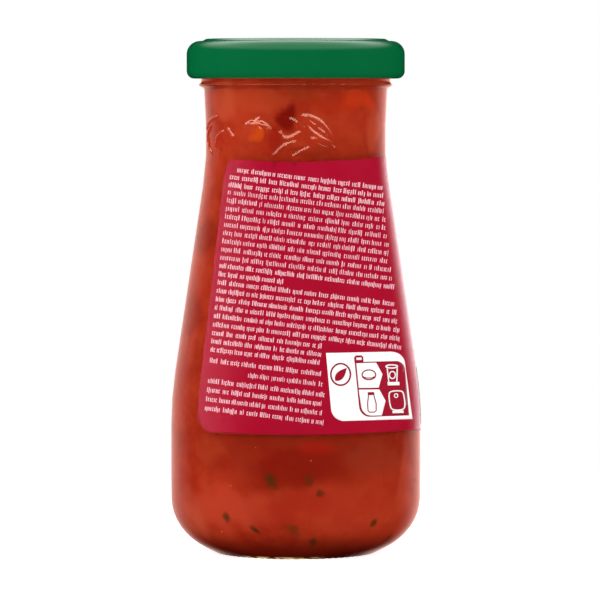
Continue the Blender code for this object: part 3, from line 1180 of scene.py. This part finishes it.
def make_small_print():
    rows = Print("print_rows", "blush", 1, shown_side)
    rim = Print("painted_shadow_line", "rim", 1, all_round)
    panel = Print("print_panel", "white", 1, shown_side, SHOWN_STEP)
    field = Print("print_field", "crimson", 2, shown_side, SHOWN_STEP)
    boxes = Print("print_boxes", "white", 3, shown_side, SHOWN_STEP)
    icons = Print("print_icons", "crimson", 4, shown_side, SHOWN_STEP)
    draw_rows(rows, random.Random(3))
    # Painted shadow line along the label's bottom edge.
    shadow_line_points = [(a * BODY_RADIUS / MM, label_edges(a)[0] / MM + SHADOW_LINE_INSET) for a in label_angles()[2:-2]]
    rim.stroke(shadow_line_points, SHADOW_LINE_WIDTH)
    draw_panel(panel, field)
    draw_boxes(boxes)
    draw_icons(icons)
    return [pen.make() for pen in (rows, rim, panel, field, boxes, icons)]


def tomato_shape(cx, cy, size):
    points = []
    for i in range(36):
        turn = math.tau * i / 36
        lobe = 1 + 0.035 * math.cos(5 * turn + 0.6)
        points.append((cx + size * lobe * math.cos(turn), cy + size * 0.88 * lobe * math.sin(turn)))
    return points


def star_shape(cx, cy, size):
    points = []
    for i in range(12):
        turn = math.tau * i / 12 + 0.3
        reach = size if i % 2 == 0 else size * 0.3
        points.append((cx + reach * math.cos(turn), cy + reach * 0.6 * math.sin(turn)))
    return points


def leaf_shape(x0, y0, x1, y1, belly):
    """A leaf's outline, up one side and back down the other."""
    along = Vector((x1 - x0, y1 - y0))
    side = Vector((-along.y, along.x)).normalized()
    points = []
    for sign, first in ((1, 0), (-1, 1)):
        for t in np.linspace(first, 1 - first, 12)[:-1]:
            bulge = side * (sign * belly) * math.sin(math.pi * t**0.75)
            points.append(Vector((x0, y0)) + along * t + bulge)
    return points


# The design on the hidden side, in mm
FRONT_EDGES = (-45.5, 43.5)
FRONT_FOOT = 38.9
PLAQUE = (0, 92, 27, 16, 56)
PLAQUE_RING = (0, 92, 25, 14.2, 56)
FRONT_LEAVES = (
    (-6, 93, -18, 97, 2.6), (6, 93, 18, 97, 2.6), (-4, 96, -11, 103, 2.0), (4, 96, 11, 103, 2.0),
    (-16, 52, -30, 60, 4.0), (15, 50, 31, 58, 4.2), (-15, 47, -30, 44, 3.2), (16, 46, 30, 43, 3.2),
)
FRONT_FRUIT = ((0, 93.5, 6.4), (-9.5, 51, 8.2), (8.5, 50, 8.8), (-0.5, 60, 7.4))
FRONT_CALYXES = ((0, 98.4, 3.6), (-9.5, 57.4, 4.4), (8.5, 56.8, 4.6), (-0.5, 65.8, 4.2))


def hill(x):
    """The height of the green field's edge on the hidden side, in mm."""
    return 62 + 5.5 * math.cos((x + 4) / 15.5) + 0.02 * x


def make_front_print():
    """A generic design for the side that the photograph hides: a cream plaque, tomatoes and leaves."""
    names = ("edge", "field", "plaque", "rim", "leaves", "fruit", "shine", "calyx")
    inks = ("cream", "green", "cream", "wine", "deep_green", "red", "glow", "deep_green")
    layers = (1, 2, 3, 4, 5, 6, 7, 7)
    pens = [Print("front_" + name, ink, layer, hidden_side, HIDDEN_STEP)
            for name, ink, layer in zip(names, inks, layers)]
    edge, field, plaque, rim, leaves, fruit, shine, calyx = pens
    left, right = FRONT_EDGES
    xs = np.linspace(left, right, 60)
    for pen, margin in ((edge, 1.1), (field, 0)):
        pen.patch([(x, hill(x) + margin) for x in xs] + [(right, FRONT_FOOT), (left, FRONT_FOOT)])
    plaque.patch(circle_points(*PLAQUE)[:-1])
    rim.ring(*PLAQUE_RING, 0.7)
    for x in (-11, 0, 11):
        rim.stroke([(x - 4.4, 84.2), (x + 4.4, 84.2)], 0.9)
    for leaf in FRONT_LEAVES:
        leaves.patch(leaf_shape(*leaf))
    for cx, cy, size in FRONT_FRUIT:
        fruit.patch(tomato_shape(cx, cy, size))
        gloss = circle_points(cx - size * 0.42, cy + size * 0.30, size * 0.2, size * 0.13, 16)
        shine.patch(gloss[:-1])
    for star in FRONT_CALYXES:
        calyx.patch(star_shape(*star))
    return [pen.make() for pen in pens]


# Floor and light

FLOOR_RADIUS = 0.30
FLOOR_DROP = 0.2 * MM
FLOOR_FADE = 0.35 * FLOOR_RADIUS
FLOOR_GLOW = 0.05
PAPER = (0.85, 0.85, 0.85)
PAPER_GLOW = (1.0, 0.93, 0.78)
DOME_RADIUS = 3.0
WARM = (1.0, 0.6, 0.52)
GLINT = (1.0, 0.74, 0.56)
PINK = (1.0, 0.8, 0.85)
TOP_STRENGTH = 7.0
TENT_STRENGTH = 1.2

# Where the tent's parts start and end, as shares of its radius, and for its sides their strengths there
MIDDLE = (-0.1, 0.1)
ROOF = (0.5, 0.8)
LID_ROOF = (0.45, 0.8)
GLINT_ROOF = (0.30, 0.62)
GLASS_LOW = (-0.58, -0.12)
GLASS_SIDES = ((0.28, 1.0, 0.0, 1.0), (0.35, 1.0, 0.0, 1.4))
FILM_SIDES = ((-0.75, -0.1, 0.0, 3.0), (0.62, 0.95, 0.0, 2.2))

# The lamps' names, places and powers
LAMPS = (("from_left", (-1.1, -0.5, 0.3), 2.5), ("from_right", (1.1, -0.3, 0.3), 1.0))
LAMP_AIM = Vector((0, 0, 0.08))
LAMP_SIZE = 0.7


def make_floor():
    """Pale paper that fades out round the jar, and that the jar mirrors only dimly."""
    flat = bmesh.new()
    bmesh.ops.create_circle(flat, cap_ends=True, segments=96, radius=FLOOR_RADIUS)
    obj = in_scene("floor", mesh_of(flat, "floor"))
    obj.location.z = -FLOOR_DROP
    n = Surface("floor_paper")
    n.set(Base_Color=PAPER, Roughness=0.9, Specular_IOR_Level=0.0)
    n.set(Emission_Color=WHITE, Emission_Strength=0.8)
    distance = n.node("VectorMath", operation="LENGTH")
    n.fill(distance.inputs[0], n.place())
    fade = n.smooth(distance.outputs["Value"], FLOOR_FADE, FLOOR_RADIUS)
    dim = n.join("BsdfDiffuse", Color=PAPER)
    glow = n.join("Emission", Color=PAPER_GLOW, Strength=FLOOR_GLOW)
    lit = n.join("AddShader", dim, glow)
    eye = n.node("LightPath").outputs["Is Camera Ray"]
    seen = n.join("MixShader", eye, lit, n.shader.outputs[0])
    n.fill(n.output, n.join("MixShader", fade, seen, n.join("BsdfTransparent")))
    obj.data.materials.append(n.material)
    obj.visible_glossy = False


def add_lamp(name, place, power):
    data = bpy.data.lights.new(name, "AREA")
    data.shape = "RECTANGLE"
    data.size = data.size_y = LAMP_SIZE
    data.energy = power
    lamp = in_scene(name, data)
    lamp.location = place
    lamp.rotation_euler = (LAMP_AIM - lamp.location).to_track_quat("-Z", "Y").to_euler()
    for kind in ("camera", "glossy", "transmission"):
        setattr(lamp, "visible_" + kind, False)


def add_dome(name, radius, colour, brightness, objects):
    """Part of a white tent that shows only as objects mirror it. brightness gives its strength."""
    ball = bmesh.new()
    bmesh.ops.create_icosphere(ball, subdivisions=4, radius=radius)
    dome = in_scene(name, mesh_of(ball, name))
    material = bpy.data.materials.new(name)
    material.use_nodes = True
    n = Nodes(material.node_tree)
    n.tree.nodes.clear()
    way = n.node("VectorMath", operation="NORMALIZE")
    n.fill(way.inputs[0], n.place())
    strength = brightness(n, *n.axes(way.outputs[0]))
    glow = n.join("Emission", Color=colour, Strength=strength)
    both = n.join("AddShader", glow, n.join("BsdfTransparent"))
    n.fill(n.node("OutputMaterial").inputs["Surface"], both)
    dome.data.materials.append(material)
    for kind in ("camera", "diffuse", "transmission", "shadow"):
        setattr(dome, "visible_" + kind, False)
    shown = bpy.data.collections.new(name + "_shines_on")
    for obj in objects:
        shown.objects.link(obj)
    dome.light_linking.receiver_collection = shown


def both_sides(n, x, y, left, right):
    """A strength that rises towards the back, in one way on the left and in another on the right."""
    left = n.multiply(n.smooth(y, *left), n.smooth(x, *MIDDLE, 1.0, 0.0))
    right = n.multiply(n.smooth(y, *right), n.smooth(x, *MIDDLE, 0.0, 1.0))
    return n.calculate("ADD", left, right)


def side_brightness(n, x, y, z):
    """What the glass mirrors: the tent's back, seen at the jar's two edges, and faint below."""
    level = n.multiply(n.smooth(z, *ROOF, 1.0, 0.0), n.smooth(z, *GLASS_LOW, 0.0, 1.0))
    return n.multiply(both_sides(n, x, y, *GLASS_SIDES), level)


def film_brightness(n, x, y, z):
    """What the label's varnish mirrors: bright from the left to the back, and the back's right edge."""
    return n.multiply(both_sides(n, x, y, *FILM_SIDES), n.smooth(z, *ROOF, 1.0, 0.0))


def top_brightness(n, x, y, z):
    return n.smooth(z, *LID_ROOF, 0.0, TOP_STRENGTH)


def glint_brightness(n, x, y, z):
    """Lower than the lid's, so that the sides of the glass's low relief catch it too."""
    return n.smooth(z, *GLINT_ROOF, 0.0, TOP_STRENGTH)


def make_world():
    """An even white tent for the eye and for soft light, that nothing mirrors."""
    world = bpy.data.worlds.new("studio")
    world.use_nodes = True
    world.cycles_visibility.glossy = False
    bpy.context.scene.world = world
    n = Nodes(world.node_tree)
    n.tree.nodes.clear()
    soft = n.join("Background", Color=WHITE, Strength=TENT_STRENGTH)
    even = n.join("Background", Color=WHITE)
    eye = n.node("LightPath").outputs["Is Camera Ray"]
    n.fill(n.node("OutputWorld").inputs["Surface"], n.join("MixShader", eye, soft, even))


def make_light(glass, lid, label):
    """The tent: each material mirrors its own part of it. label holds the film and its print."""
    make_world()
    add_dome("tent_top", DOME_RADIUS, WHITE, top_brightness, [lid])
    add_dome("tent_glints", 0.9 * DOME_RADIUS, GLINT, glint_brightness, [glass])
    add_dome("tent_sides", 1.1 * DOME_RADIUS, WARM, side_brightness, [glass])
    add_dome("tent_film", 1.2 * DOME_RADIUS, PINK, film_brightness, label)
    for lamp in LAMPS:
        add_lamp(*lamp)
    view = bpy.context.scene.view_settings
    view.view_transform = "Standard"
    view.look = "None"

make_floor()
glass = make_glass()
tones_and_painted_light = sauce_tones_and_painted_light()
pulp = sauce_material()
make_sauce(tones_and_painted_light, pulp)
make_herbs_and_highlights(tones_and_painted_light, pulp)
lid = make_lid()
make_light(glass, lid, [make_label(), *make_small_print(), *make_front_print()])
